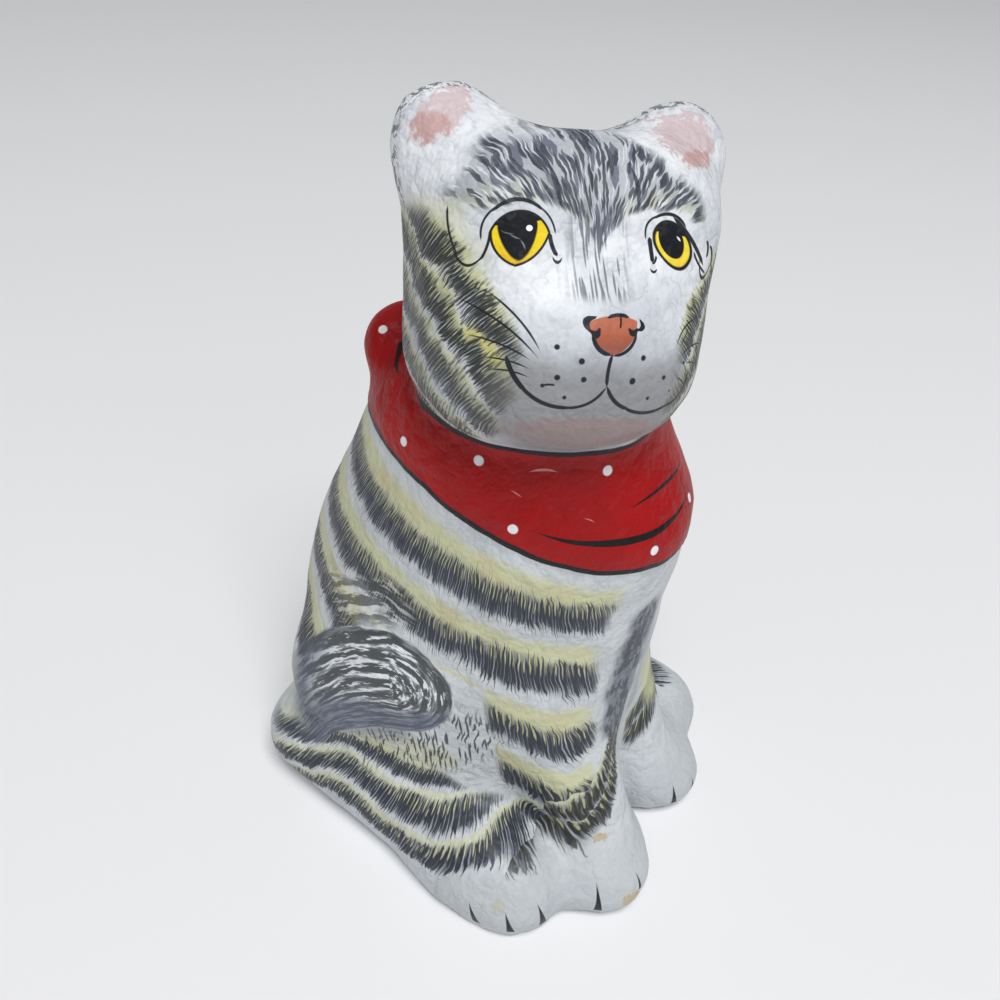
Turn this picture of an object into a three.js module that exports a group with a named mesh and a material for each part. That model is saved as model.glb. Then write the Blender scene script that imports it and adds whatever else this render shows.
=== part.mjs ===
// A sitting papier-mache cat with a neckerchief, moulded in one piece.
// Millimetres, Z up. The base rests on z = 0 and the body faces -Y, so the cat's own right side is -X.
// The form is a smooth solid: rounded masses are melted into each other, cut flat underneath,
// and the skin of that solid is laid out as one closed mesh.
import * as THREE from "three";

// Mesh
const CELL = 5.4; // spacing of the skin's net
const MARGIN = 2 * CELL; // empty border round the form while the net is laid
const EVENING_PASSES = 4; // times the net is pulled even over the skin

// Trunk: stations from the base to the neck
const TRUNK_HEIGHTS = [0, 35, 70, 105, 135, 165, 190];
const TRUNK_CENTRES_Y = [14, 14, 12, 6.5, -1.5, -1.5, -13];
const TRUNK_HALF_WIDTHS = [47, 48, 47, 45, 42.5, 35.5, 27];
const TRUNK_HALF_DEPTHS = [58.5, 62, 64, 60.5, 55, 41, 28];

// Thigh, a raised oval on each flank that leans back from the knee to the rump
const KNEE = [25, 14, 74];
const KNEE_RADIUS = 26.5;
const RUMP = [29, 37, 50];
const RUMP_RADIUS = 25.5;
const THIGH_BLEND = 10;

// Hind leg, lying along the ground, and its paw
const HOCK = [39.5, 53, 16];
const HOCK_RADIUS = 17;
const HIND_TOES = [48.5, -40.5, 9];
const HIND_TOES_RADIUS = 15;
const HIND_PAW_CENTRE = [47, -26, 9];
const HIND_PAW_RADII = [17, 26, 19];
const HIND_BLEND = 14;

// Foreleg, standing against the chest, and its paw
const ELBOW = [20.5, -23, 86];
const ELBOW_RADIUS = 17;
const WRIST = [18, -53, 16];
const WRIST_RADIUS = 14.5;
const FOREPAW_CENTRE = [24, -54, 8];
const FOREPAW_RADII = [19, 23.5, 14];
const LEFT_FOREPAW_SET_BACK = 4; // the left forepaw stands a little behind the right one
const LEFT_HIND_SET_FORWARD = 4; // and the left hind leg reaches a little further forward
const FORE_BLEND = 10;

// Neckerchief: a layer of cloth round the neck, lowest at the chest, with its knot at the nape
const SCARF_THICKNESS = 2;
const SCARF_EDGE_SOFTNESS = 8; // height over which the cloth rises from the fur
const SCARF_BORDER_MIDDLE = 142;
const SCARF_BORDER_DROP = 11.5; // how far the border falls at the chest and climbs at the nape
const SCARF_BORDER_RISE = 5.3; // how much it lifts over each shoulder
const KNOT_CENTRE = [-2, 40.5, 168];
const KNOT_RADII = [15, 9.5, 10];
const KNOT_BLEND = 9;

// Head, set on the neck and turned to the cat's own right
const HEAD_CENTRE = [-8.5, -14, 203];
const HEAD_TURN = -40; // degrees about the upright
const HEAD_LIFT = 18; // degrees, face upward
const HEAD_LEAN = 6.5; // degrees, top of the head toward the cat's left
const SKULL_SET_BACK = 4;
const SKULL_HALF = [38, 32, 38.5];
const SKULL_ROUNDING = 22;
const SKULL_TAPER = 0.0013; // gain in width for each millimetre up the head
const SKULL_BACK_TAPER = 0.012; // loss in width and height for each millimetre toward the back
const SKULL_TAPER_START = 12; // where that narrowing begins, behind the middle of the head
const MUZZLE_CENTRE = [0, -22, -14];
const MUZZLE_RADII = [23.5, 16, 21];
const MUZZLE_BLEND = 14;
const EAR_CENTRE = [30.5, 2, 33.5];
const EAR_RADII = [13.5, 9, 14];
const EAR_SPREAD = 15; // degrees, each ear leaning outward
const EAR_BLEND = 12;
const NECK_BLEND = 5;

const radians = (degrees) => (degrees * Math.PI) / 180;

// Melts two masses together; reach is how wide the fillet between them is.
function melt(a, b, reach) {
  const overlap = Math.max(reach - Math.abs(a - b), 0) / reach;
  return Math.min(a, b) - overlap * overlap * reach * 0.25;
}

// Distance to an ellipsoid, near enough close to its surface.
function ellipsoid(x, y, z, centre, radii) {
  const px = (x - centre[0]) / radii[0];
  const py = (y - centre[1]) / radii[1];
  const pz = (z - centre[2]) / radii[2];
  const reach = Math.hypot(px, py, pz);
  const steepness = Math.hypot(px / radii[0], py / radii[1], pz / radii[2]);
  return steepness < 1e-9 ? -Math.min(...radii) : (reach * (reach - 1)) / steepness;
}

// Distance to a limb: a rod with round ends whose radius changes from one end to the other.
function limb(x, y, z, start, end, startRadius, endRadius) {
  const axis = [end[0] - start[0], end[1] - start[1], end[2] - start[2]];
  const offset = [x - start[0], y - start[1], z - start[2]];
  const along = axis[0] * offset[0] + axis[1] * offset[1] + axis[2] * offset[2];
  const share = THREE.MathUtils.clamp(along / (axis[0] ** 2 + axis[1] ** 2 + axis[2] ** 2), 0, 1);
  const gap = Math.hypot(
    offset[0] - axis[0] * share,
    offset[1] - axis[1] * share,
    offset[2] - axis[2] * share,
  );
  return gap - startRadius - (endRadius - startRadius) * share;
}

// Distance to a box with rounded edges, centred on the origin.
function roundedBox(x, y, z, half, rounding) {
  const qx = Math.abs(x) - half[0] + rounding;
  const qy = Math.abs(y) - half[1] + rounding;
  const qz = Math.abs(z) - half[2] + rounding;
  const outside = Math.hypot(Math.max(qx, 0), Math.max(qy, 0), Math.max(qz, 0));
  return outside + Math.min(Math.max(qx, qy, qz), 0) - rounding;
}

// A smooth value at height z between the trunk's stations.
function atStation(values, z) {
  const heights = TRUNK_HEIGHTS;
  const last = heights.length - 1;
  if (z <= heights[0]) return values[0];
  if (z >= heights[last]) return values[last];
  let i = 0;
  while (z > heights[i + 1]) i += 1;
  const slope = (k) =>
    k === 0 || k === last ? 0 : (values[k + 1] - values[k - 1]) / (heights[k + 1] - heights[k - 1]);
  const span = heights[i + 1] - heights[i];
  const t = (z - heights[i]) / span;
  const rise = values[i + 1] - values[i];
  const a = slope(i) * span - rise;
  const b = rise - slope(i + 1) * span;
  return values[i] + t * rise + t * (1 - t) * (a * (1 - t) + b * t);
}

function trunk(x, y, z) {
  const halfWidth = atStation(TRUNK_HALF_WIDTHS, z);
  const halfDepth = atStation(TRUNK_HALF_DEPTHS, z);
  const centre = [0, atStation(TRUNK_CENTRES_Y, z), z];
  const top = TRUNK_HEIGHTS[TRUNK_HEIGHTS.length - 1];
  return Math.max(ellipsoid(x, y, z, centre, [halfWidth, halfDepth, 1]), z - top);
}

function limbs(x, y, z) {
  const side = Math.abs(x);
  const hindY = x > 0 ? y + LEFT_HIND_SET_FORWARD : y;
  const foreY = x > 0 ? y - LEFT_FOREPAW_SET_BACK : y;
  const thigh = limb(side, y, z, KNEE, RUMP, KNEE_RADIUS, RUMP_RADIUS);
  const hindLeg = limb(side, hindY, z, HOCK, HIND_TOES, HOCK_RADIUS, HIND_TOES_RADIUS);
  const hindPaw = ellipsoid(side, hindY, z, HIND_PAW_CENTRE, HIND_PAW_RADII);
  const foreleg = limb(side, foreY, z, ELBOW, WRIST, ELBOW_RADIUS, WRIST_RADIUS);
  const forepaw = ellipsoid(side, foreY, z, FOREPAW_CENTRE, FOREPAW_RADII);
  return { thigh, hindLeg, hindPaw, foreleg, forepaw };
}

// Height of the neckerchief's lower border in the direction of (x, y).
function scarfBorder(x, y) {
  const spread = Math.hypot(x, y) || 1;
  return SCARF_BORDER_MIDDLE + (SCARF_BORDER_DROP * y) / spread + SCARF_BORDER_RISE * (x / spread) ** 2;
}

// How far the cloth stands out from the neck at a point.
function scarfLayer(x, y, z) {
  return SCARF_THICKNESS * THREE.MathUtils.smoothstep(z - scarfBorder(x, y), 0, SCARF_EDGE_SOFTNESS);
}

const headPose = new THREE.Matrix4()
  .makeTranslation(...HEAD_CENTRE)
  .multiply(new THREE.Matrix4().makeRotationZ(radians(HEAD_TURN)))
  .multiply(new THREE.Matrix4().makeRotationX(-radians(HEAD_LIFT)))
  .multiply(new THREE.Matrix4().makeRotationY(radians(HEAD_LEAN)));
const intoHead = headPose.clone().invert();
const inHead = new THREE.Vector3();
const EAR_COS = Math.cos(radians(EAR_SPREAD));
const EAR_SIN = Math.sin(radians(EAR_SPREAD));

function head(x, y, z) {
  const p = inHead.set(x, y, z).applyMatrix4(intoHead);
  const narrowing = 1 - SKULL_BACK_TAPER * Math.max(p.y - SKULL_TAPER_START, 0);
  const skullX = p.x / (1 + SKULL_TAPER * p.z) / narrowing;
  const skull = roundedBox(skullX, p.y - SKULL_SET_BACK, p.z / narrowing, SKULL_HALF, SKULL_ROUNDING);
  const muzzle = ellipsoid(p.x, p.y, p.z, MUZZLE_CENTRE, MUZZLE_RADII);
  const out = Math.abs(p.x) - EAR_CENTRE[0];
  const up = p.z - EAR_CENTRE[2];
  const ear = ellipsoid(
    EAR_COS * out - EAR_SIN * up,
    p.y - EAR_CENTRE[1],
    EAR_SIN * out + EAR_COS * up,
    [0, 0, 0],
    EAR_RADII,
  );
  return melt(melt(skull, muzzle, MUZZLE_BLEND), ear, EAR_BLEND);
}

// Distance from a point to the cat's skin, leaving out the flat cut underneath.
function skin(x, y, z) {
  const { thigh, hindLeg, hindPaw, foreleg, forepaw } = limbs(x, y, z);
  let distance = melt(trunk(x, y, z), thigh, THIGH_BLEND);
  distance = melt(distance, hindLeg, HIND_BLEND);
  distance = melt(distance, hindPaw, FORE_BLEND);
  distance = melt(distance, foreleg, FORE_BLEND);
  distance = melt(distance, forepaw, FORE_BLEND) - scarfLayer(x, y, z);
  distance = melt(distance, ellipsoid(x, y, z, KNOT_CENTRE, KNOT_RADII), KNOT_BLEND);
  return melt(distance, head(x, y, z), NECK_BLEND);
}

function skinSlope(x, y, z) {
  const step = 0.05;
  return new THREE.Vector3(
    skin(x + step, y, z) - skin(x - step, y, z),
    skin(x, y + step, z) - skin(x, y - step, z),
    skin(x, y, z + step) - skin(x, y, z - step),
  ).divideScalar(2 * step);
}

// Moves a point onto the skin, or along the ground onto the skin's foot when it is grounded.
function settle(point, grounded) {
  for (let pass = 0; pass < 8; pass += 1) {
    if (grounded) point.z = 0;
    const slope = skinSlope(point.x, point.y, point.z);
    if (grounded) slope.z = 0;
    const steepness = slope.lengthSq();
    if (steepness < 1e-8) return;
    const stride = THREE.MathUtils.clamp(skin(point.x, point.y, point.z) / steepness, -CELL, CELL);
    point.addScaledVector(slope, -stride);
  }
}

// The region the net has to cover, whole cells each way; the ground falls midway through a cell.
const LOW = [-75 - MARGIN, -85 - MARGIN, -1.5 * CELL];
const HIGH = [75 + MARGIN, 85 + MARGIN, 245 + MARGIN];
const COUNT = LOW.map((low, axis) => Math.ceil((HIGH[axis] - low) / CELL) + 1);
const at = (axis, index) => LOW[axis] + index * CELL;
const nodeIndex = (i, j, k) => (k * COUNT[1] + j) * COUNT[0] + i;

// Skin distance at every node of the grid.
function sampleGrid() {
  const values = new Float64Array(COUNT[0] * COUNT[1] * COUNT[2]);
  for (let k = 0; k < COUNT[2]; k += 1) {
    for (let j = 0; j < COUNT[1]; j += 1) {
      for (let i = 0; i < COUNT[0]; i += 1) {
        values[nodeIndex(i, j, k)] = skin(at(0, i), at(1, j), at(2, k));
      }
    }
  }
  return values;
}

const CORNERS = [0, 1, 2, 3, 4, 5, 6, 7].map((c) => [c & 1, (c >> 1) & 1, c >> 2]);
const EDGES = CORNERS.flatMap((a, i) =>
  CORNERS.map((b, j) => [i, j, Math.abs(a[0] - b[0]) + Math.abs(a[1] - b[1]) + Math.abs(a[2] - b[2])]),
).filter(([i, j, apart]) => i < j && apart === 1);

// One net vertex for every grid cell the surface passes through.
function placeVertices(values) {
  const points = [];
  const cellVertex = new Map();
  for (let k = 0; k < COUNT[2] - 1; k += 1) {
    for (let j = 0; j < COUNT[1] - 1; j += 1) {
      for (let i = 0; i < COUNT[0] - 1; i += 1) {
        const fur = CORNERS.map(([a, b, c]) => values[nodeIndex(i + a, j + b, k + c)]);
        const ground = CORNERS.map((corner) => -at(2, k + corner[2]));
        const solid = CORNERS.map((corner, c) => Math.max(fur[c], ground[c]));
        const mean = new THREE.Vector3();
        let crossings = 0;
        for (const [a, b] of EDGES) {
          if (solid[a] < 0 === solid[b] < 0) continue;
          const share = solid[a] / (solid[a] - solid[b]);
          mean.x += i + CORNERS[a][0] + share * (CORNERS[b][0] - CORNERS[a][0]);
          mean.y += j + CORNERS[a][1] + share * (CORNERS[b][1] - CORNERS[a][1]);
          mean.z += k + CORNERS[a][2] + share * (CORNERS[b][2] - CORNERS[a][2]);
          crossings += 1;
        }
        if (crossings === 0) continue;
        mean.multiplyScalar(CELL / crossings).add(new THREE.Vector3(...LOW));
        const groundCell = ground.some((d) => d > 0) && ground.some((d) => d < 0);
        const skinCell = fur.some((d) => d > 0) && fur.some((d) => d < 0);
        if (groundCell) mean.z = 0;
        if (skinCell) settle(mean, groundCell);
        cellVertex.set(nodeIndex(i, j, k), points.length);
        points.push(mean);
      }
    }
  }
  return { points, cellVertex };
}

// Two triangles across every grid edge that the surface crosses, wound outward.
function layFaces(values, points, cellVertex) {
  const solidAt = (i, j, k) => Math.max(values[nodeIndex(i, j, k)], -at(2, k)) < 0;
  const faces = [];
  for (let k = 1; k < COUNT[2] - 1; k += 1) {
    for (let j = 1; j < COUNT[1] - 1; j += 1) {
      for (let i = 1; i < COUNT[0] - 1; i += 1) {
        for (let axis = 0; axis < 3; axis += 1) {
          const step = [0, 0, 0];
          step[axis] = 1;
          const inside = solidAt(i, j, k);
          if (inside === solidAt(i + step[0], j + step[1], k + step[2])) continue;
          const u = [0, 0, 0];
          const v = [0, 0, 0];
          u[(axis + 1) % 3] = 1;
          v[(axis + 2) % 3] = 1;
          const ring = [[1, 1], [0, 1], [0, 0], [1, 0]].map(([a, b]) => {
            const back = [0, 1, 2].map((n) => a * u[n] + b * v[n]);
            return cellVertex.get(nodeIndex(i - back[0], j - back[1], k - back[2]));
          });
          if (!inside) ring.reverse();
          const [a, b, c, d] = ring;
          const shortWay = points[a].distanceTo(points[c]) <= points[b].distanceTo(points[d]);
          faces.push(...(shortWay ? [a, b, c, a, c, d] : [a, b, d, b, c, d]));
        }
      }
    }
  }
  return faces;
}

// Draws every vertex above the ground to the middle of its neighbours, then back onto the skin.
function evenNet(points, faces) {
  const neighbours = points.map(() => new Set());
  faces.forEach((vertex, n) => {
    const next = faces[n % 3 === 2 ? n - 2 : n + 1];
    neighbours[vertex].add(next);
    neighbours[next].add(vertex);
  });
  for (let pass = 0; pass < EVENING_PASSES; pass += 1) {
    const before = points.map((point) => point.clone());
    points.forEach((point, n) => {
      if (point.z === 0) return;
      point.set(0, 0, 0);
      neighbours[n].forEach((other) => point.addScaledVector(before[other], 1 / neighbours[n].size));
      settle(point, false);
    });
  }
}

const values = sampleGrid();
const { points, cellVertex } = placeVertices(values);
const faces = layFaces(values, points, cellVertex);
evenNet(points, faces);

const geometry = new THREE.BufferGeometry();
geometry.setAttribute("position", new THREE.Float32BufferAttribute(points.flatMap((p) => p.toArray()), 3));
geometry.setIndex(faces);
geometry.computeVertexNormals();

const paint = new THREE.MeshStandardMaterial({ color: 0xc9cbcf, roughness: 0.45, metalness: 0 });
const cat = new THREE.Mesh(geometry, paint);
cat.name = "cat";

const group = new THREE.Group();
group.name = "papier_mache_cat";
group.add(cat);

export default group;
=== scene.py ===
# %% [markdown]
# # A hand-painted papier-mache cat
# The cat is one hollow figure: strips of paper pressed into a mould, joined, painted by hand and
# varnished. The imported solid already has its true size, pose and rounded masses, so this lesson has
# two jobs. The first is to turn a copy of that solid into a smooth, slightly uneven paper skin. The
# second is to paint it with a material made of brush strokes worked out by arithmetic, so that the
# paint stays crisp at any distance. Lengths in the paint are in millimetres, because a painter
# thinks in them.

# %% Load the fixed frame
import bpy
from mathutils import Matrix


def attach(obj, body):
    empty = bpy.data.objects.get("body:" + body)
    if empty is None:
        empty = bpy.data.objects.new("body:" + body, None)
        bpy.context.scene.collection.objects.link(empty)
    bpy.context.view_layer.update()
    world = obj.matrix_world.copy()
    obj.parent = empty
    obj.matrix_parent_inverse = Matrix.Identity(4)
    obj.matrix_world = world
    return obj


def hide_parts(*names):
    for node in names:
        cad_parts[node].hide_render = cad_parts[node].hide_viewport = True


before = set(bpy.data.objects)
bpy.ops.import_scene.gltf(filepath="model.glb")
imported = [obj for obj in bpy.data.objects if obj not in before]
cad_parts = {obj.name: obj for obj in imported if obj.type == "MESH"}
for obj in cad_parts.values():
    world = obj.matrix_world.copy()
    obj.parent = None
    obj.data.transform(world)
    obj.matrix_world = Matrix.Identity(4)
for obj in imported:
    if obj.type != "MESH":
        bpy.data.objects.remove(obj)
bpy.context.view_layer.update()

from math import cos, radians, sin

import bpy
import numpy as np
from mathutils import Matrix, Vector

# %% [markdown]
# ## Camera
# The camera comes first, so that every later step can be judged from the same place. It stands
# close to the cat, on the cat's own right side and above it, and is rolled by a few degrees.
# Azimuth is measured from the cat's front, and the three axes of the camera are built from it by
# plain trigonometry.

# %% Camera
CAMERA_AZIMUTH = -1.031
CAMERA_ELEVATION = 0.650
CAMERA_ROLL = 0.066
CAMERA_DISTANCE = 0.330
CAMERA_AIM = Vector((0, 0, 0.115))
CAMERA_SHIFT = (-0.00302, 0.00558)
CAMERA_LENS = 37.0

away = Vector((
    sin(CAMERA_AZIMUTH) * cos(CAMERA_ELEVATION),
    -cos(CAMERA_AZIMUTH) * cos(CAMERA_ELEVATION),
    sin(CAMERA_ELEVATION),
))
level = Vector((cos(CAMERA_AZIMUTH), sin(CAMERA_AZIMUTH), 0))
upright = away.cross(level)
rolled_level = cos(CAMERA_ROLL) * level + sin(CAMERA_ROLL) * upright
rolled_upright = cos(CAMERA_ROLL) * upright - sin(CAMERA_ROLL) * level
aim = CAMERA_AIM + CAMERA_SHIFT[0] * level + CAMERA_SHIFT[1] * upright
eye_point = aim + CAMERA_DISTANCE * away

bpy.ops.object.select_all(action="DESELECT")
bpy.ops.object.camera_add()
camera = bpy.context.object
camera.name = "camera"
camera.matrix_world = Matrix.Translation(eye_point) @ Matrix(
    (rolled_level, rolled_upright, away)
).transposed().to_4x4()
camera.data.lens = CAMERA_LENS
camera.data.clip_start = 0.01
bpy.context.scene.camera = camera
print("camera stands at", [round(c * 1000) for c in eye_point], "mm")

# %% [markdown]
# ## Paper skin
# The solid is a net of flat triangles, which would catch the light as facets. A copy of it is
# merged, its triangles are joined back into four-sided faces, and two levels of Subdivision Surface
# round it off. That keeps the form's own lines, which a voxel remesh would blur, and gives faces of
# about 1.3 mm. Rounding draws a net inward, most at the ears, so a trial copy is rounded first, and
# the net is pushed out by as much as the trial was drawn in.

# %% Smooth copy of the moulded form
SAME_PLACE, ON_FLOOR = 1e-5, 1e-4
FLAT_ENOUGH = radians(60)
ROUNDING_LEVELS = 2

bpy.ops.object.select_all(action="DESELECT")
skin = bpy.data.objects.new("painted_cat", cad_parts["cat"].data.copy())
bpy.context.scene.collection.objects.link(skin)
skin.select_set(True)
bpy.context.view_layer.objects.active = skin
bpy.ops.object.mode_set(mode="EDIT")
bpy.ops.mesh.select_all(action="SELECT")
bpy.ops.mesh.remove_doubles(threshold=SAME_PLACE)
bpy.ops.mesh.tris_convert_to_quads(face_threshold=FLAT_ENOUGH, shape_threshold=FLAT_ENOUGH)
bpy.ops.object.mode_set(mode="OBJECT")


def round_off(piece):
    """Subdivision Surface, applied at once."""
    bpy.context.view_layer.objects.active = piece
    rounding = piece.modifiers.new("rounding", "SUBSURF")
    rounding.levels = ROUNDING_LEVELS
    rounding.render_levels = ROUNDING_LEVELS
    bpy.ops.object.modifier_apply(modifier="rounding")


def vertex_places(mesh):
    """The places of all the vertices, one row each."""
    places = np.zeros(len(mesh.vertices) * 3)
    mesh.vertices.foreach_get("co", places)
    return places.reshape(-1, 3)


trial = bpy.data.objects.new("trial", skin.data.copy())
bpy.context.scene.collection.objects.link(trial)
round_off(trial)
net = vertex_places(skin.data)
pushed = 2 * net - vertex_places(trial.data)[:len(net)]
pushed[:, 2] = np.where(net[:, 2] < ON_FLOOR, 0, pushed[:, 2])
skin.data.vertices.foreach_set("co", pushed.ravel())
bpy.data.objects.remove(trial)
round_off(skin)
print("skin has", len(skin.data.polygons), "faces, net pushed out by up to",
      round(1000 * float(np.abs(pushed - net).max()), 2), "mm")

# %% [markdown]
# ## Handwork in the surface
# Papier-mache is never quite even: the paper leaves low swellings, and the neckerchief is built up
# by another layer or two, so that its lower border is a small step. The swellings are a Displace
# modifier with cloud noise. The step follows one formula, so it is easier to move the vertices
# along their normals with numpy. The same formula places the painted border later. The foot is
# pressed flat again at the end, because the cat has to stand.

# %% Swellings, the step of the neckerchief and the flat foot
BORDER_MIDDLE, BORDER_DROP, BORDER_RISE = 142.0, 11.5, 5.3
SWELLING_SIZE, SWELLING_HEIGHT = 0.022, 0.0012
STEP_HEIGHT, STEP_SOFTNESS, STEP_FADE = 0.7, 0.8, 9.0
FOOT_HEIGHT, FACING_DOWN = 0.6, -0.7


def border_height(x, y):
    """Height in mm of the neckerchief's lower border in the direction of (x, y)."""
    spread = np.hypot(x, y)
    return BORDER_MIDDLE + BORDER_DROP * y / spread + BORDER_RISE * (x / spread) ** 2


clouds = bpy.data.textures.new("paper_swellings", "CLOUDS")
clouds.noise_scale = SWELLING_SIZE
clouds.noise_depth = 2
swelling = skin.modifiers.new("swelling", "DISPLACE")
swelling.texture = clouds
swelling.strength = SWELLING_HEIGHT
swelling.mid_level = 0.5
bpy.ops.object.modifier_apply(modifier="swelling")

mesh = skin.data
place = 1000 * vertex_places(mesh)
outward = np.zeros(place.size)
mesh.vertices.foreach_get("normal", outward)
outward = outward.reshape(-1, 3)
above = place[:, 2] - border_height(place[:, 0], place[:, 1])
step = np.clip((above + STEP_SOFTNESS) / (2 * STEP_SOFTNESS), 0, 1)
step *= np.clip(1 - above / STEP_FADE, 0, 1)
place += outward * (STEP_HEIGHT * step)[:, None]
foot = place[:, 2] < FOOT_HEIGHT
faces_down = outward[foot, 2] < FACING_DOWN
place[foot, 2] = np.where(faces_down, 0, np.maximum(place[foot, 2], 0))
mesh.vertices.foreach_set("co", (place / 1000).ravel())
mesh.shade_smooth()
mesh.update()
print("lowest point", place[:, 2].min(), "mm, highest", place[:, 2].max(), "mm")

# %% [markdown]
# ## Arithmetic for paint
# A brush stroke is a formula, and formulas are easiest to read as Python. A Value wraps the output
# of a node, and adding, multiplying or comparing Values adds the Math nodes. Every other node comes
# from one method, add, which takes the node's type, its settings and what goes into its sockets.

# %% Values and the paint recipe
paint = bpy.data.materials.new("painted_paper")
paint.use_nodes = True
paint.node_tree.nodes.clear()


class Value:
    """A node's output that can be used in Python arithmetic."""

    def __init__(self, socket):
        self.socket = socket

    @staticmethod
    def add_node(kind, settings=None, sockets=None, output=0):
        node = paint.node_tree.nodes.new(kind)
        for name, setting in (settings or {}).items():
            setattr(node, name, setting)
        for name, given in (sockets or {}).items():
            if isinstance(given, Value):
                paint.node_tree.links.new(given.socket, node.inputs[name])
            else:
                node.inputs[name].default_value = given
        return Value(node.outputs[output]) if node.outputs else None

    @staticmethod
    def sum_up(operation, *given, clamp=False):
        settings = {"operation": operation, "use_clamp": True} if clamp else {"operation": operation}
        return add("ShaderNodeMath", settings, dict(enumerate(given)))

    def __add__(self, other): return self.sum_up("ADD", self, other)
    def __radd__(self, other): return self.sum_up("ADD", other, self)
    def __sub__(self, other): return self.sum_up("SUBTRACT", self, other)
    def __rsub__(self, other): return self.sum_up("SUBTRACT", other, self)
    def __mul__(self, other): return self.sum_up("MULTIPLY", self, other)
    def __rmul__(self, other): return self.sum_up("MULTIPLY", other, self)
    def __truediv__(self, other): return self.sum_up("DIVIDE", self, other)
    def __rtruediv__(self, other): return self.sum_up("DIVIDE", other, self)
    def __pow__(self, other): return self.sum_up("POWER", self, other)
    def __neg__(self): return self.sum_up("MULTIPLY", self, -1.0)
    def __abs__(self): return self.sum_up("ABSOLUTE", self)
    def __gt__(self, other): return self.sum_up("GREATER_THAN", self, other)
    def __lt__(self, other): return self.sum_up("LESS_THAN", self, other)


add = Value.add_node
math = Value.sum_up


def most(a, b): return math("MAXIMUM", a, b)
def least(a, b): return math("MINIMUM", a, b)
def whole(value): return math("FLOOR", value)
def rest(value): return math("FRACT", value)
def nearest(value): return math("ROUND", value)
def root(value): return math("SQRT", value)
def length(a, b): return root(a * a + b * b)


def ease(value, low, high):
    """0 below low, 1 above high and a soft step between, or the reverse where high is the smaller."""
    return add(
        "ShaderNodeMapRange",
        {"interpolation_type": "SMOOTHSTEP"},
        {"Value": value, "From Min": low, "From Max": high},
    )


def vector(operation, *given, output=0):
    """One Vector Math node; output 1 is its number, such as a length."""
    return add("ShaderNodeVectorMath", {"operation": operation}, dict(enumerate(given)), output)


def along(place, direction): return vector("DOT_PRODUCT", place, direction, output=1)
def point(a, b, c=0.0): return add("ShaderNodeCombineXYZ", {}, {0: a, 1: b, 2: c})
def away_from(place, spot): return vector("DISTANCE", place, spot, output=1)


def parts(place):
    """The three parts of a vector."""
    node = add("ShaderNodeSeparateXYZ", {}, {0: place}).socket.node
    return [Value(output) for output in node.outputs]


def grain(place, scale, detail=2.0, roughness=0.5, stretch=(1, 1, 1)):
    """Soft noise around 0.5; stretch squeezes it along one axis or another."""
    if stretch != (1, 1, 1):
        place = vector("MULTIPLY", place, stretch)
    return add("ShaderNodeTexNoise", {}, {
        "Vector": place, "Scale": scale, "Detail": detail, "Roughness": roughness,
    })


def chances(a, b, c=0.0):
    """Three random numbers that stay the same for the same three whole numbers."""
    numbers = {"Vector": point(a, b, c)}
    return parts(add("ShaderNodeTexWhiteNoise", {"noise_dimensions": "3D"}, numbers, 1))


def blend(share, under, over):
    """Paint laid over paint: share 0 leaves the lower one, 1 covers it."""
    return add("ShaderNodeMix", {"data_type": "RGBA"}, {0: share, 6: under, 7: over}, 2)


def colour(red, green, blue):
    """A chart colour, 0 to 255, turned into the linear value that light needs."""
    return tuple((c / 255) ** 2.2 for c in (red, green, blue)) + (1.0,)


print("paint recipe ready")

# %% [markdown]
# ## Places on the body and on the head
# Body paint reads the Object coordinates in millimetres. The head is turned, lifted and leaned, so
# face paint reads the same point in the head's own directions: across to the cat's left, back, and
# up. Each of the three is one dot product with a direction worked out in Python.

# %% Coordinates
OBJECT, MM_IN_A_METRE = 3, 1000
where = vector("SCALE", add("ShaderNodeTexCoord", {}, {}, OBJECT))
where.socket.node.inputs["Scale"].default_value = MM_IN_A_METRE
x, y, z = parts(where)
side = abs(x)

HEAD_CENTRE = Vector((-8.5, -14, 203))
HEAD_TURN, HEAD_LIFT, HEAD_LEAN = -40, -18, 6.5
head_turn = (
    Matrix.Rotation(radians(HEAD_TURN), 3, "Z")
    @ Matrix.Rotation(radians(HEAD_LIFT), 3, "X")
    @ Matrix.Rotation(radians(HEAD_LEAN), 3, "Y")
)
head_across, head_back, head_up = head_turn.transposed()
from_head = vector("SUBTRACT", where, tuple(HEAD_CENTRE))
hx, hy, hz = (along(from_head, tuple(axis)) for axis in (head_across, head_back, head_up))
head_side = abs(hx)
print("face looks toward", [round(c, 2) for c in -head_back])

# %% [markdown]
# ## Where each region lies
# The head ends where its own rounded block meets the neck. The distance to that block is short to
# write down: take the part of each coordinate beyond a core, and measure its length. The muzzle is
# an oval melted into it. A slow noise lets the borders wander, as a hand does. Below the head comes
# the neckerchief, down to its border, and below that the fur of the body.

# %% Head, neckerchief and body
SKULL_CORE, SKULL_ROUNDING = (16, 10, 16.5), 22
MUZZLE_MIDDLE, MUZZLE_HALVES, MUZZLE_DEPTH = (0, -22, -14), (23.5, 16, 21), 18
MELT, CREASE_EDGE, NECK_LEVEL = 14.0, 1.6, 150.0
narrowing = 1 - 0.012 * most(hy - 12, 0.0)
skull = point(hx / (1 + 0.0013 * hz) / narrowing, hy - 4, hz / narrowing)
beyond = vector("SUBTRACT", vector("ABSOLUTE", skull), SKULL_CORE)
beyond = vector("MAXIMUM", beyond, (0, 0, 0))
off_skull = vector("LENGTH", beyond, output=1) - SKULL_ROUNDING
muzzle = vector("SUBTRACT", point(hx, hy, hz), MUZZLE_MIDDLE)
muzzle = vector("DIVIDE", muzzle, MUZZLE_HALVES)
off_muzzle = MUZZLE_DEPTH * (vector("LENGTH", muzzle, output=1) - 1)
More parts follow.
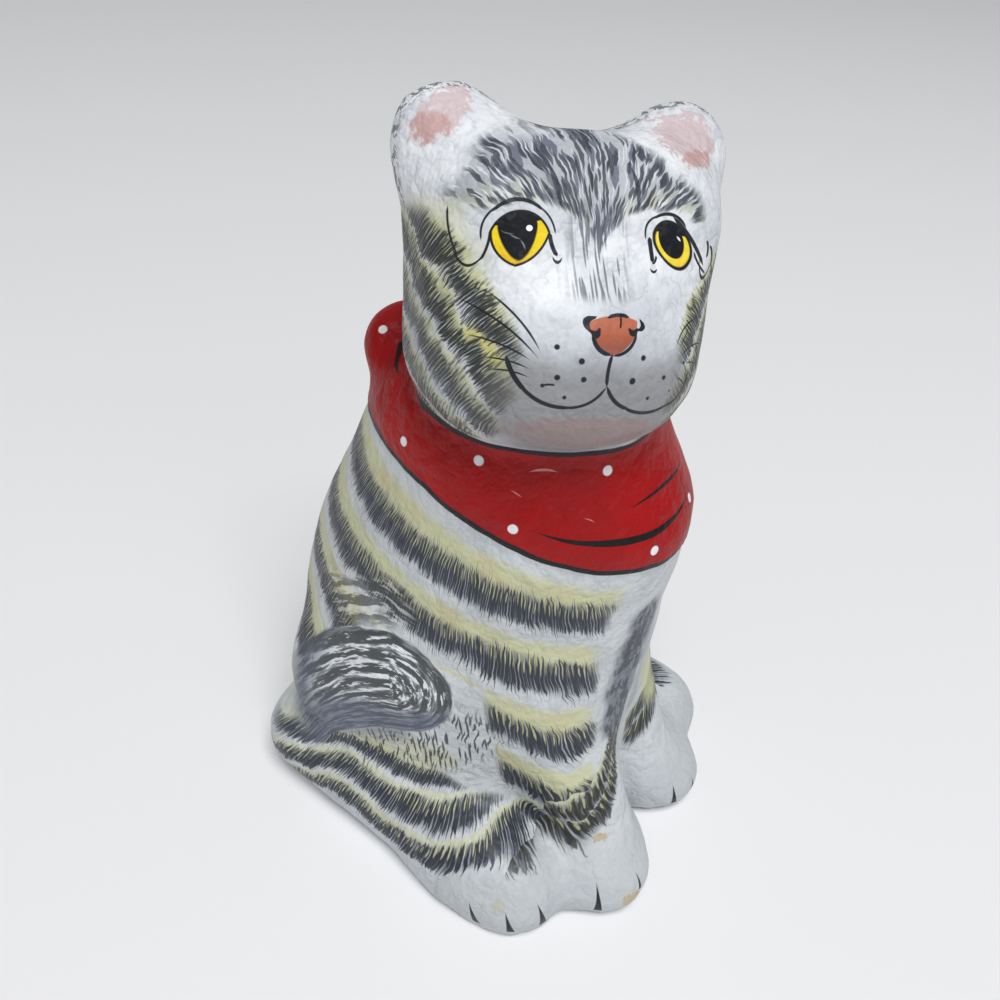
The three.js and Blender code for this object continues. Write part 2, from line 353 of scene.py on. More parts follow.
closeness = most(MELT - abs(off_skull - off_muzzle), 0.0)
off_head = least(off_skull, off_muzzle) - closeness * closeness / (4 * MELT)
wander = grain(where, 0.12, 1.0) - 0.5
gap_to_head = off_head + 0.6 * wander
on_head = most((gap_to_head < CREASE_EDGE) * (z > NECK_LEVEL), hz > 4.0)
reach = length(x, y)
border = BORDER_MIDDLE + BORDER_DROP * y / reach + BORDER_RISE * (x / reach) * (x / reach)
above_border = z - border + 1.6 * wander
print("regions set out")

# %% [markdown]
# ## Ground
# The ground is a cool white, brushed on unevenly and greyer where the coat is thin. It could be one
# flat colour, but bare ground is most of the face and paws, so it is mixed from noises: a slow one
# for the thickness of the coat, a fine drawn-out one for brush marks, and a third whose folds are
# fine grey lines of painted shade in the creases of the paper.

# %% Ground colour
WHITE, THIN_WHITE = colour(232, 235, 238), colour(206, 210, 216)
BRUSH_GREY, CREASE_SHADE_GREY = colour(180, 185, 193), colour(168, 174, 184)
mottle = grain(where, 0.05, 2.0, 0.6)
brushed = grain(where, 0.5, 3.0, 0.65, (1, 1, 0.4))
crumple = abs(grain(where, 0.11, 3.0, 0.55) - 0.5)
ground = blend(ease(mottle, 0.35, 0.7), WHITE, THIN_WHITE)
ground = blend(0.45 * ease(brushed, 0.48, 0.72), ground, BRUSH_GREY)
# Grey lines along the folds of the crumple noise: painted shade in the creases of the paper.
ground = blend(0.45 * ease(crumple, 0.03, 0.0) * ease(mottle, 0.4, 0.6), ground, CREASE_SHADE_GREY)
print("ground laid")

# %% [markdown]
# ## Fur, stroke by stroke
# All the fur is one kind of mark: a short tapering hair drawn with the tip of the brush. Each
# region gives every point two measures. Lane runs along a stripe, and rise is the height above the
# stripe's middle line. Lanes are cut into narrow columns, and each column holds one hair whose top,
# foot and place are drawn from a random number. Several layers of columns of different widths, laid
# over each other, give a full core and ragged edges. Where the fur is loose, as on the forehead,
# single hairs are strewn over a field instead, each at its own height.

# %% One layer of hairs
SOFT_EDGE, ASIDE, LEFT_OUT = 0.14, 0.3, 0.25


def tapered(column, share, luck, gap, width):
    """A hair, widest at half its length; luck sets it aside in its column."""
    half = 2 * width * (share * (1 - share))
    off = abs(rest(column) - 0.5 - ASIDE * (luck - 0.5))
    return math("MULTIPLY", half - off, gap / SOFT_EDGE, clamp=True)


def hairs(lane, rise, row, up, down, gap, seed, width):
    """A layer of hairs, one in every column of the lane; width is a share of the column."""
    column = lane / gap + seed * 0.37
    first, second, third = chances(whole(column), row, seed)
    top = up * (0.4 + 0.6 * first)
    foot = down * (-0.4 - 0.6 * second)
    share = math("DIVIDE", rise - foot, top - foot, clamp=True)
    return tapered(column, share, third, gap, width)


def scattered(lane, height, gap, period, seed, width):
    """Single hairs strewn over a field, each at its own height; one in four is left out."""
    column = lane / gap
    level = height / period + chances(whole(column), seed)[0]
    first, second, third = chances(whole(column), whole(level), seed)
    share = math("DIVIDE", rest(level), 0.35 + 0.6 * first, clamp=True)
    return tapered(column, share, third, gap, width) * (second > LEFT_OUT)


drift = grain(where, 0.16, 2.0) - 0.5


def fur_coat(under, lane, rise, row, up, down, share, paints, bend, fine, core):
    """A soft core and six layers of hair over a colour: dark, pale, cream and fine dark tips.

    Each layer has its gap, seed, share of the rise and of the fall, width, paint and strength.
    """
    slate, ink, cream, pale = paints
    bent = lane + (bend * drift - 0.15) * rise
    rise = rise + 3.5 * drift
    coat = blend(core * share * ease(abs(rise), 0.9 * up, 0.4 * up), under, slate)
    for gap, seed, rise_share, fall_share, width, shade, strength in (
        (1.7, 1.0, 0.85, 0.85, 1.00, slate, 0.9),
        (1.1, 2.0, 0.95, 0.95, 0.95, ink, 0.95),
        (0.9, 3.0, 0.75, 1.15, 0.42, pale, 0.6),
        (0.8, 4.0, 1.05, 1.05, 0.72, ink, 0.95),
        (1.2, 5.0, 1.15, 0.10, 0.42, cream, 0.75),
        (0.7, 6.0, 1.30, 1.35, 0.56, ink, 0.9),
    ):
        gap = gap * fine
        hair = hairs(bent, rise, row, up * rise_share, down * fall_share, gap, seed, width)
        coat = blend(strength * share * hair, coat, shade)
    return coat


print("brush ready")

# %% [markdown]
# ## Body stripes
# Broad dark stripes ring the body every 25 mm and sink toward the chest. The hairs hang from a
# point high above the back, so they lean more the further back they are. At the forelegs the last
# stripes make a ragged hem of two tiers above the white socks, lower on the outside of the leg.
# Three finer stripes follow the hind leg forward to it. The stripes stop short of the haunch and
# start again behind it. One set of lanes and rises serves them all.

# %% Lanes and rises of the body stripes
BODY_TOP, BODY_GAP, BODY_SLOPE, HAIRS_MEET = 128.0, 25.0, 0.28, 270.0
girth = 54.0 * (math("ARCTAN2", side, 16 - 0.13 * z - y) - radians(90))
sway = 2.2 * (grain(where, 0.09, 1.0) - 0.5)
fan = (girth + 32) * 150 / (HAIRS_MEET - z) + sway
swerve = grain(where, 0.045, 1.0) - 0.5
on_chest = y < -30.0
front_lift = 0.9 * most(35 - side, 0.0) * ease(z, 74.0, 42.0) * on_chest
stripe_line = z - BODY_SLOPE * y - front_lift + 3.0 * swerve + 2.0 * wander
stripe_turn = (BODY_TOP - stripe_line) / BODY_GAP
stripe = most(nearest(stripe_turn + 0.06), 0.0)
body_rise = BODY_GAP * (stripe - stripe_turn)

HEM_GAP = 5.5
right_hem = 27.5 + 1.03 * most(x + 34, 0.0)
left_hem = least(34 + 0.62 * (x - 6), 45 - 1.5 * (x - 24))
hem = right_hem + (left_hem - right_hem) * (x > 0.0)
hem_lean = 1 - 0.28 * ease(side, 38.0, 32.0)
hem_height = (z - hem) * hem_lean - 6.0 - 2.5 * (x > 0.0) + 2.0 * wander
on_hem = (hem_height + 6 * wander < 4.0) * (y + 6 * wander < -41.0)
hem_tier = least(most(nearest(hem_height / HEM_GAP), -1.0), 0.0)
hem_rise = hem_height - HEM_GAP * hem_tier

LEG_TOP, LEG_GAP, LEG_SLANT = 35.3, 9.8, 1.35
arch = least(0.009 * (y - 4) * (y - 4), 14.0) * ease(y, 45.0, 15.0) - 11 * ease(y, 20.0, 70.0)
leg_line = z - arch + 2.0 * wander
leg_turn = (LEG_TOP - leg_line) / LEG_GAP
leg_stripe = least(most(nearest(leg_turn), 0.0), 2.0)
leg_rise = LEG_GAP * (leg_stripe - leg_turn)
lowest = leg_stripe > 1.5
under_leg_top = LEG_SLANT * (LEG_TOP - leg_line)
on_leg = (leg_line < LEG_TOP + 7) * most(y > -16 - under_leg_top, lowest) * (side > 18.0)


def choose(for_body, for_hem, for_leg):
    """The body's value, the leg's where its stripes lie, and the hem's over both."""
    value = for_body + (for_leg - for_body) * on_leg
    return value + (for_hem - value) * on_hem


body_lane = choose(fan, fan, girth + 0.35 * z)
body_row = choose(stripe, 10 + hem_tier, leg_stripe + 5) + 20 * (x > 0.0)
all_rise = choose(body_rise, hem_rise, leg_rise)
body_up = choose(8.5, 4.6, 4.6)
body_down = choose(9.5, 4.8, 5.2)
print("body stripes every", BODY_GAP, "mm, leg stripes every", LEG_GAP, "mm")

# %% Where the stripes show
haunch_edge = -31 + 0.15 * z
past_haunch = most(ease(stripe_line, 89.2, 90.0), ease(y, haunch_edge, haunch_edge - 4))
past_haunch = most(past_haunch, ease(y, 22.0, 28.0)) * most(y < 0.0, ease(z, 40.0, 52.0))
chest_edge = 20 + 0.1 * most(95 - z, 0.0) + 7 * wander
chest = most(ease(side, chest_edge - 2, chest_edge + 3), ease(y, -20.0, -10.0))
socks = most(ease(hem_height, -9.0, -7.0), ease(y, -36.0, -32.0))
body_share = chest * past_haunch * ease(z, 22.0, 30.0) * socks
leg_share = most(ease(y + 10 + under_leg_top, -4.0, 3.0), lowest)
leg_share = leg_share * ease(z, 5.0, 10.0) * ease(y, 68.0, 50.0)
hem_share = 0.85 * ease(side, 3.0, 6.0) * ease(hem_height, -12.0, -11.0) * ease(x, 31.0, 25.0)
body_presence = choose(body_share, hem_share, leg_share)
wash_rise = all_rise + 7.0 * (brushed - 0.5)
wash_top = choose(13.5, 13.0, 8.0) + 4 * swerve
body_wash = ease(wash_rise, -2.0, 2.0) * ease(wash_rise, wash_top + 1.5, wash_top - 3)
body_wash = body_wash * choose(0.85, 0.8, 0.55)
print("stripes placed")

# %% [markdown]
# ## Haunch
# The haunch is painted as a swirl: rings round a short line that runs down and back along the
# thigh, with white streaks scratched between dark ones, which on the top of the haunch are also a
# painted highlight of the glossy varnish, and a smoky blue where the swirl runs out over the rump.
# Bent rings need their own two measures: run goes round the swirl and reach goes out from its short
# line. Noise that is stretched along the run breaks the rings up as a dry brush would. Loose hairs
# and a few broken strokes lead over to the body.

# %% Swirl of the haunch
SWIRL_Y, SWIRL_Z, SWIRL_HALF = 8.0, 75.0, 19.0
swirl_y, swirl_z = y - SWIRL_Y, z - SWIRL_Z
swirl_back = most(swirl_y, 0.0)
swirl_slope = 0.25 + 0.04 * swirl_back
swirl_across = swirl_z + 0.25 * swirl_y + 0.02 * swirl_y * swirl_back
swirl_across = swirl_across / root(1 + swirl_slope * swirl_slope)
swirl_along = 0.97 * swirl_y - 0.25 * swirl_z
swirl_width = 19.5 - (8.5 - 6.0 * (swirl_across > 0.0)) * ease(swirl_y, 0.0, 30.0)
swirl_ahead = least(swirl_along, 0.0)
swirl_reach = length(swirl_across * SWIRL_HALF / swirl_width, swirl_ahead) + 1.6 * wander
swirl_run = SWIRL_HALF * math("ARCTAN2", -swirl_ahead, abs(swirl_across)) - 1.3 * swirl_back
swirl_place = point(swirl_run, swirl_reach, (swirl_across > 0.0) * 40)
broken = grain(swirl_place, 0.7, 3.0, 0.62, (0.12, 1, 1))
ring = math("SINE", 1.32 * swirl_reach + 2.0 + 3.0 * swerve)
haunch_low = ease(swirl_across - 0.4 * swirl_back, -5.0, -14.0)
on_flank = side > 20.0
on_haunch = ease(swirl_reach, SWIRL_HALF + 0.6, SWIRL_HALF - 0.6) * ease(swirl_y, 52.0, 36.0)
on_haunch = on_haunch * on_flank * ease(z, 24.0, 34.0)
streaks = ease(ring + 9.0 * (broken - 0.5), -0.5, 0.8)
scraped = ease(broken + 0.03 * ring, 0.52, 0.58)
# White streaks on the upper haunch: scratched paint, and the painted highlight of its glossy top.
streak_and_highlight = scraped * (1 - haunch_low) * ease(swirl_y, 44.0, 26.0)
print("haunch swirl radius", SWIRL_HALF, "mm")


# %% Soft patches of colour along a line
flank, chest_plane = point(y, z), point(x, z)


def patch(plane, first, last, radius, softness):
    """1 near the line between two points of a plane, fading out over the softness."""
    run = Vector((*last, 0)) - Vector((*first, 0))
    offset = vector("SUBTRACT", plane, (*first, 0))
    share = math("MULTIPLY", along(offset, tuple(run)), 1 / run.length_squared, clamp=True)
    offset = vector("SUBTRACT", offset, vector("MULTIPLY", point(share, share), tuple(run)))
    gap = vector("LENGTH", offset, output=1) + 4 * (brushed - 0.5) + 6 * wander
    return ease(gap, radius + softness, radius - softness)


print("patches ready")

# %% Body colour
SLATE, INK, CREAM = colour(90, 95, 106), colour(54, 58, 65), colour(198, 199, 154)
HEM_INK, OCHRE, PALE_HAIR = colour(44, 46, 38), colour(196, 186, 138), colour(178, 182, 194)
GREY_WHITE_AND_SHADE = colour(176, 182, 185)

# The body's white is greyer than the face's, and greyer still low at the front on the feet: partly a
# duller paint, partly painted shade of the lower body.
body = blend(0.55 + 0.25 * ease(z, 30.0, 20.0) * (y < -20.0), ground, GREY_WHITE_AND_SHADE)
body = blend(body_presence * body_wash, body, blend(ease(swerve, 0.05, 0.25), CREAM, OCHRE))
body = blend(0.5 * patch(flank, (-6, 46), (16, 44), 6.0, 4.0) * (side > 25.0), body, CREAM)
body = fur_coat(
    body, body_lane, all_rise, body_row, body_up, body_down, body_presence,
    (SLATE, blend(on_hem, INK, HEM_INK), CREAM, PALE_HAIR), 0.45, 1.2, 0.8,
)
sparse = most(
    scattered(y + 0.10 * z + 3 * drift, z, 1.3, 9.0, 8.0, 0.62),
    scattered(y - 0.12 * z, z, 1.7, 12.0, 9.0, 0.5),
)
halo = ease(y, haunch_edge - 5, haunch_edge) * ease(swirl_reach, SWIRL_HALF - 1, SWIRL_HALF + 1)
halo = halo * ease(swirl_reach, SWIRL_HALF + 22, SWIRL_HALF + 14) * ease(y, 30.0, 18.0)
halo = halo * ease(z, 78.0, 66.0) * ease(z, 26.0, 32.0)
body = blend(0.9 * halo * sparse * on_flank, body, INK)
print("body fur painted")

# %% Haunch colour
SMOKE, PALE_SMOKE = colour(86, 93, 110), colour(128, 135, 150)
RING_DARK, RING_PALE, RIM = colour(78, 83, 84), colour(136, 141, 144), colour(70, 74, 76)
STREAK_WHITE_AND_HIGHLIGHT, STROKE, SCRAPE = colour(226, 229, 234), colour(70, 74, 70), colour(222, 224, 222)

smoke = patch(flank, (10, 52), (50, 40), 5.0, 5.0) * on_flank
body = blend(0.6 * smoke, body, blend(ease(broken, 0.42, 0.6), SMOKE, PALE_SMOKE))
swirl = blend(streaks, RING_DARK, RING_PALE)
swirl = blend(streak_and_highlight, swirl, STREAK_WHITE_AND_HIGHLIGHT)
smoky = blend(ease(broken, 0.42, 0.62), SMOKE, PALE_SMOKE)
swirl = blend(0.85 * most(haunch_low, ease(swirl_y, 24.0, 40.0)), swirl, smoky)
rim = ease(abs(swirl_reach - SWIRL_HALF + 1.2), 1.3, 0.6) * (1 - haunch_low)
swirl = blend(0.8 * rim, swirl, RIM)
over_haunch = patch(flank, (36, 93), (12, 105), 7.0, 4.0) * on_flank
body = blend(0.8 * over_haunch * (1 - streaks), body, STROKE)
body = blend(0.5 * over_haunch * scraped, body, SCRAPE)
body = blend(on_haunch, body, swirl)
print("haunch painted")

# %% Patches on the chest
CHEST_DARK_AND_SHADE, CHEST_SLATE, CHEST_GREY = colour(58, 62, 72), colour(118, 124, 134), colour(150, 156, 166)

dabs = ease(grain(where, 0.35, 3.0, 0.7, (1, 1, 0.5)), 0.44, 0.6)
# A dark patch runs down between the forelegs: dark slate strokes, and painted shade of the crease
# between the legs.
dark_patch_and_shade = patch(chest_plane, (-5, 106), (-11, 64), 7.0, 2.5) * on_chest
grey_patch = patch(chest_plane, (0, 98), (3, 60), 3.0, 2.5) * on_chest
cream_patch = patch(chest_plane, (10, 76), (20, 50), 4.5, 3.5) * on_chest
body = blend(0.95 * dark_patch_and_shade, body, blend(dabs, CHEST_DARK_AND_SHADE, CHEST_SLATE))
body = blend(0.5 * grey_patch, body, CHEST_GREY)
body = blend(0.75 * cream_patch, body, CREAM)
print("chest painted")

# %% [markdown]
# ## Claws and chips
# On the real cat the claws are only painted, so they are not modelled: each is a thin black wedge,
# drawn down a toe with one stroke. A wedge lies in the plane that touches the paw there, so that it
# comes out straight from any side. Where the paint has chipped off the toes, the buff of the paper
# shows.

# %% Claws and chips on the feet
CLAWS = (
    (-65.1, -33.6, 14.5, -65.1, -37.1, 4.0, 1.5), (-62.4, -45.7, 16.0, -62.3, -48.9, 5.0, 1.5),
    (-54.8, -52.9, 17.5, -53.1, -55.8, 4.5, 1.7), (-36.8, -64.9, 17.5, -39.3, -68.4, 5.5, 1.5),
    (-25.1, -73.5, 16.5, -26.3, -76.9, 10.0, 0.9), (14.6, -68.4, 16.0, 14.2, -71.0, 5.5, 1.4),
    (23.8, -72.4, 13.0, 24.0, -74.0, 7.0, 1.2), (36.8, -64.9, 17.5, 39.3, -68.4, 5.5, 1.5),
    (54.8, -52.9, 17.5, 53.1, -55.8, 4.5, 1.7), (62.4, -45.7, 16.0, 62.3, -48.9, 5.0, 1.5),
    (65.1, -33.6, 14.5, 65.1, -37.1, 4.0, 1.5),
)
FOREPAW, HINDPAW, PAWS_PART = (27, -54), (48, -34), 45
CLAW_BLACK = colour(34, 36, 42)
claws = 0.0
for top_x, top_y, top_z, tip_x, tip_y, tip_z, width in CLAWS:
    paw_x, paw_y = FOREPAW if abs(top_x) < PAWS_PART else HINDPAW
    out = Vector((top_x - (paw_x if top_x > 0 else -paw_x), top_y - paw_y)).normalized()
    lean = (out.x * (tip_y - top_y) - out.y * (tip_x - top_x)) / (tip_z - top_z)
    off = along(where, (-out.y, out.x, -lean)) - (out.x * top_y - out.y * top_x - lean * top_z)
    share = math("DIVIDE", top_z - z, top_z - tip_z, clamp=True)
    outside = (along(where, (out.x, out.y, 0)) > out.x * top_x + out.y * top_y - 5) * (z > tip_z)
    claws = most(claws, math("MULTIPLY", width * share - abs(off), 4.0, clamp=True) * outside)
body = blend(claws, body, CLAW_BLACK)
CHIPS = (
    (-29.0, -61.0, 27.5, 2.6, 1.3, 0.8), (-30.3, -76.2, 8.2, 4.0, 2.6, 0.8),
    (-62.0, -43.0, 16.5, 2.2, 2.6, 0.35),
)
BARE_PAPER = colour(182, 166, 130)
for chip_x, chip_y, chip_z, wide, tall, strength in CHIPS:
    spot = vector("SUBTRACT", where, (chip_x, chip_y, chip_z))
    spot = vector("DIVIDE", spot, (wide, wide, tall))
    chip = 1.2 - vector("LENGTH", spot, output=1) + 3 * (brushed - 0.5)
    body = blend(strength * ease(chip, 0.0, 0.3), body, BARE_PAPER)
print(len(CLAWS), "claws and", len(CHIPS), "chips")

# %% [markdown]
# ## Head fur
# Dark stripes with cream between them run over each cheek toward the mouth, in the same coat of
# hairs as the body, with loose hairs strewn over it. On the forehead rows would show as lines, so
# four layers of strewn hairs fan out from the bridge of the nose over a soft grey core, and thin
# grey ones run down the bridge.

# %% Cheek stripes and the fan of the forehead
CHEEK_TOP, CHEEK_GAP = -10.4, 9.2
cheek_line = -0.646 * head_side - 0.325 * hy + 0.691 * hz + 4.0 * wander + 6.0 * swerve + 2.5 * drift
cheek_turn = (CHEEK_TOP - cheek_line) / CHEEK_GAP
cheek_stripe = most(nearest(cheek_turn), 0.0)
cheek_rise = CHEEK_GAP * (cheek_stripe - cheek_turn)
cheek_lane = -0.44 * head_side - 0.59 * hy - 0.68 * hz

off_root, above_root = hx + 1, hz - 4
brow_angle = math("ARCTAN2", off_root, above_root)
brow_spread = length(off_root, above_root)
brow_open = math("DEGREES", abs(brow_angle))
brow_foot = 7.5 + 0.38 * brow_open
brow_top = 37.0 - 3.4 * brow_angle
off_brow = (hz < 4.0) + (brow_open > 68) + (hy > 12.0) + (brow_spread > brow_top + 4) > 0.5
brow_share = ease(hz, 4.0, 7.0) * ease(brow_open, 66.0, 58.0) * (hy < 12)
brow_share = brow_share * ease(brow_spread + 8 * wander, brow_top + 1, brow_top - 4)
brow_share = brow_share * ease(brow_spread + 6 * drift, brow_foot - 1, brow_foot + 2)
cheek_share = ease(head_side + 8 * wander, 18.0, 24.0) * ease(cheek_line, -4.0, -7.0)
cheek_share = cheek_share * ease(hz, 20.0, 13.0) * (1 - 0.3 * (cheek_stripe > 1.5)) * off_brow
cheek_wash = ease(cheek_rise, -1.0, 1.5) * ease(cheek_rise, 7.5, 4.5)
brow_wash = ease(brow_spread, brow_foot - 1, brow_foot + 2)
brow_wash = brow_wash * ease(brow_spread, brow_foot + 9, brow_foot + 4)
print("head fur set out")

# %% Cheek colour
CHEEK_SLATE, CHEEK_INK, CHEEK_PALE = colour(90, 94, 96), colour(54, 57, 56), colour(206, 210, 218)
LOWER_FACE_SHADE, YELLOW, STRAY = colour(176, 182, 193), colour(196, 188, 84), colour(66, 70, 66)

face = point(hx, hz)
# The face is greyed below the eyes, toward the muzzle: painted shade of the lower face.
head = blend(0.55 * ease(hz + 4 * wander, 5.0, -7.0), ground, LOWER_FACE_SHADE)
wash = most(0.85 * cheek_share * cheek_wash, 0.5 * brow_wash * brow_share * (head_side > 3.0))
head = blend(wash, head, CREAM)
near_ear = patch(face, (-36, 16), (-31, 5), 5.0, 3.0) * (hy < 14)
head = blend(0.5 * near_ear, head, CREAM)
by_mouth = patch(face, (-28, -8), (-24, -13), 2.6, 2.4) * (hy < 4)
head = blend(0.7 * by_mouth, head, YELLOW)
head = fur_coat(
    head, cheek_lane, cheek_rise, cheek_stripe + 40 * (hx > 0.0), 4.8, 5.6, cheek_share,
    (CHEEK_SLATE, CHEEK_INK, CREAM, CHEEK_PALE), 0.7, 1.05, 0.55,
)
stray = scattered(cheek_lane, cheek_line + 3 * drift, 1.2, 6.5, 30.0, 0.65)
head = blend(0.8 * cheek_share * stray, head, STRAY)
print("cheeks painted")

# %% Forehead colour
BROW_CORE, BRIDGE_GREY = colour(104, 110, 124), colour(98, 104, 115)
BROW_LAYERS = (
    (1.8, 13.0, 20.0, 1.20, colour(98, 104, 118), 0.9),
    (1.3, 10.0, 21.0, 1.05, colour(70, 75, 86), 0.9),
    (0.9, 8.0, 22.0, 0.55, colour(212, 216, 224), 0.85),
    (1.1, 9.0, 23.0, 0.90, colour(62, 66, 76), 0.9),
)

head = blend(0.5 * brow_share * ease(brow_spread, brow_foot, brow_foot + 5), head, BROW_CORE)
for gap, period, seed, width, shade, strength in BROW_LAYERS:
    hair = scattered(25 * brow_angle + 3 * drift, brow_spread, gap, period, seed, width)
    head = blend(strength * brow_share * hair, head, shade)
bridge = most(
    scattered(hx + 0.12 * hz + drift, hz, 1.4, 22.0, 9.0, 0.95),
    scattered(hx + 0.06 * hz, hz, 0.9, 13.0, 11.0, 0.75),
)
bridge = bridge * ease(abs(hx + 1.5), 9.0, 4.0) * (hy < 0.0)
bridge = bridge * ease(hz, 0.0, 3.0) * ease(hz, 26.0, 16.0)
head = blend(0.85 * bridge, head, BRIDGE_GREY)
print("forehead painted")

# %% [markdown]
# ## Lines of the face
# The painter drew the face with the tip of a fine brush. Each line is given by its first point, a
# middle one and its last, in millimetres across and up the face, and by its width at the middle. A
# parabola through the three points gives the line, and the width runs out toward both ends.

# %% Brush lines, three at a time
def line_terms(x0, z0, x1, z1, x2, z2, width):
    """Numbers that give a place its share along a line and its distance off it, and half the width."""
    run, climb = x2 - x0, z2 - z0
    span = (run * run + climb * climb) ** 0.5
    middle = ((x1 - x0) * run + (z1 - z0) * climb) / span**2
    bend = ((z1 - z0) * run - (x1 - x0) * climb) / span / (middle - middle**2)
    return (
        run / span**2, climb / span**2, -(x0 * run + z0 * climb) / span**2,
        -climb / span, run / span, -(z0 * run - x0 * climb) / span, -bend, 0.5 * width,
    )


def strokes(across, up, table, blunt=4.0, weight=1.0):
    """All the lines of a table as one mask; three at a time share the three parts of a vector."""
    wide, tall = point(across, across, across), point(up, up, up)
    rows = [line_terms(*row) for row in table]
    rows += [rows[-1]] * (-len(rows) % 3)
    best = (-1, -1, -1)
    for start in range(0, len(rows), 3):
        run, climb, begin, over, lift, set_back, bend, half = zip(*rows[start:start + 3])
        share = vector("MULTIPLY_ADD", wide, run, vector("MULTIPLY_ADD", tall, climb, begin))
        share = vector("MAXIMUM", vector("MINIMUM", share, (1, 1, 1)), (0, 0, 0))
        bell = vector("MULTIPLY", share, vector("SUBTRACT", (1, 1, 1), share))
        off = vector("MULTIPLY_ADD", wide, over, vector("MULTIPLY_ADD", tall, lift, set_back))
        off = vector("ABSOLUTE", vector("MULTIPLY_ADD", bell, bend, off))
        half = tuple(weight * value for value in half)
        thick = vector("MULTIPLY", bell, tuple(blunt * value for value in half))
        thick = vector("MINIMUM", thick, half)
        best = vector("MAXIMUM", best, vector("SUBTRACT", thick, off))
    first, second, third = parts(best)
    return math("MULTIPLY", most(most(first, second), third), 6.0, clamp=True)


def oval(plane, across, up, half_across, half_up, tilt=0.0, bulge=2.0):
    """Above 0 inside an oval, below it outside; a bulge over 2 squares its corners."""
    turn = Vector((cos(radians(tilt)), sin(radians(tilt))))
    first = along(plane, (turn.x / half_across, turn.y / half_across, 0))
    second = along(plane, (-turn.y / half_up, turn.x / half_up, 0))
    first = abs(first - (across * turn.x + up * turn.y) / half_across)
    second = abs(second - (up * turn.x - across * turn.y) / half_up)
    return 1 - first**bulge - second**bulge


print("fine brush ready")

# %% Lines of the eyes, nose, mouth and whiskers
LIDS = (
    (-27.8, 12.2, -27.6, 17.2, -24.0, 21.0, 0.5), (-26.8, 18.5, -20.7, 22.1, -13.8, 19.5, 0.85),
    (-16.5, 21.2, -13.0, 18.6, -11.4, 14.8, 0.5), (-34.5, 20.0, -34.1, 14.0, -32.0, 8.3, 0.45),
    (-33.5, 10.8, -30.0, 6.9, -26.8, 10.2, 0.65), (-27.9, 8.1, -26.6, 11.5, -26.2, 15.5, 0.6),
    (10.8, 14.6, 11.0, 18.6, 14.4, 20.6, 0.55), (11.8, 19.4, 16.1, 20.9, 21.4, 17.7, 0.75),
    (17.0, 20.6, 22.9, 15.5, 28.5, 9.0, 0.9), (26.4, 11.4, 30.2, 7.4, 32.1, 10.4, 0.85),
    (31.8, 8.7, 31.9, 11.3, 30.0, 14.2, 0.8), (24.1, 12.8, 26.3, 9.8, 29.7, 7.3, 0.6),
    (-12.8, 15.4, -12.2, 12.6, -10.9, 10.2, 0.9), (-12.2, 10.2, -11.0, 9.0, -9.8, 10.1, 0.7),
    (11.5, 15.7, 12.2, 12.5, 12.7, 9.7, 1.0), (13.6, 11.5, 13.4, 10.4, 12.5, 9.5, 0.6),
    (11.8, 8.6, 12.8, 7.8, 13.9, 8.5, 0.6), (28.4, 15.4, 29.4, 13.4, 29.3, 11.0, 0.8),
)
NOSE_AND_MOUTH = (
    (-2.6, -1.9, -5.4, -3.5, -4.0, -5.9, 1.4), (-4.6, -5.1, -3.3, -5.9, -2.0, -4.4, 1.4),
    (8.0, -2.2, 8.9, -3.8, 6.9, -5.0, 1.1), (7.7, -4.4, 5.9, -5.4, 4.8, -4.4, 1.2),
    (-3.9, -4.8, -3.0, -8.2, 1.3, -10.5, 0.95), (7.3, -4.6, 6.0, -8.2, 0.6, -10.6, 0.75),
    (-0.6, -2.3, 2.4, -1.5, 5.5, -2.1, 0.75), (2.9, -1.6, 3.0, -3.0, 2.8, -4.6, 0.5),
    (1.2, -9.8, 0.4, -14.0, 0.6, -18.1, 0.8), (0.8, -17.2, -3.0, -21.7, -9.8, -23.1, 0.7),
    (-5.5, -22.9, -14.5, -21.9, -20.2, -17.0, 0.85), (-17.2, -20.2, -21.0, -15.6, -22.5, -11.6, 0.95),
    (0.4, -17.2, 2.8, -20.9, 8.3, -23.7, 0.85), (4.6, -22.2, 13.5, -24.9, 21.8, -22.2, 0.8),
    (18.2, -24.3, 24.0, -20.5, 25.3, -14.2, 0.6), (-14.6, -18.1, -13.2, -17.7, -11.5, -17.8, 0.5),
)
WHISKERS = (
    (-15.0, -11.2, -20.2, -3.4, -27.3, 2.4, 0.5), (-15.2, -12.6, -22.5, -5.6, -33.0, -0.2, 0.5),
    (-16.6, -13.0, -23.5, -9.6, -30.9, -8.5, 0.45), (-17.0, -14.7, -21.7, -13.1, -27.4, -13.1, 0.42),
    (-16.8, -16.7, -21.0, -15.4, -26.3, -15.8, 0.42), (19.0, -9.8, 21.6, -5.4, 28.5, -3.1, 0.45),
    (20.4, -9.8, 22.6, -6.7, 24.8, -3.7, 0.35), (20.7, -11.9, 25.8, -9.4, 32.1, -10.4, 0.45),
    (23.4, -13.5, 26.2, -13.5, 29.6, -15.0, 0.4), (20.6, -16.3, 22.9, -17.6, 24.9, -19.4, 0.4),
)
WEDGES = ((-13.0, 31.0, -11.4, 26.0, -10.4, 20.8, 1.7), (7.4, 31.0, 8.6, 26.0, 8.2, 21.0, 1.4))
DOTS = (
    (-11.9, -9.0, 0.75), (-6.2, -11.9, 0.85), (-11.4, -15.9, 0.8), (-5.3, -16.1, 0.8),
    (-14.4, -18.0, 0.6), (-9.1, -20.6, 0.6), (9.4, -11.1, 0.8), (7.1, -16.5, 0.95),
    (16.3, -16.1, 0.7), (12.4, -21.0, 0.6), (18.9, -19.6, 0.4), (22.8, -13.1, 0.6),
)
lines = most(strokes(hx, hz, LIDS, 9.0, 1.3), strokes(hx, hz, NOSE_AND_MOUTH, 7.0, 1.35))
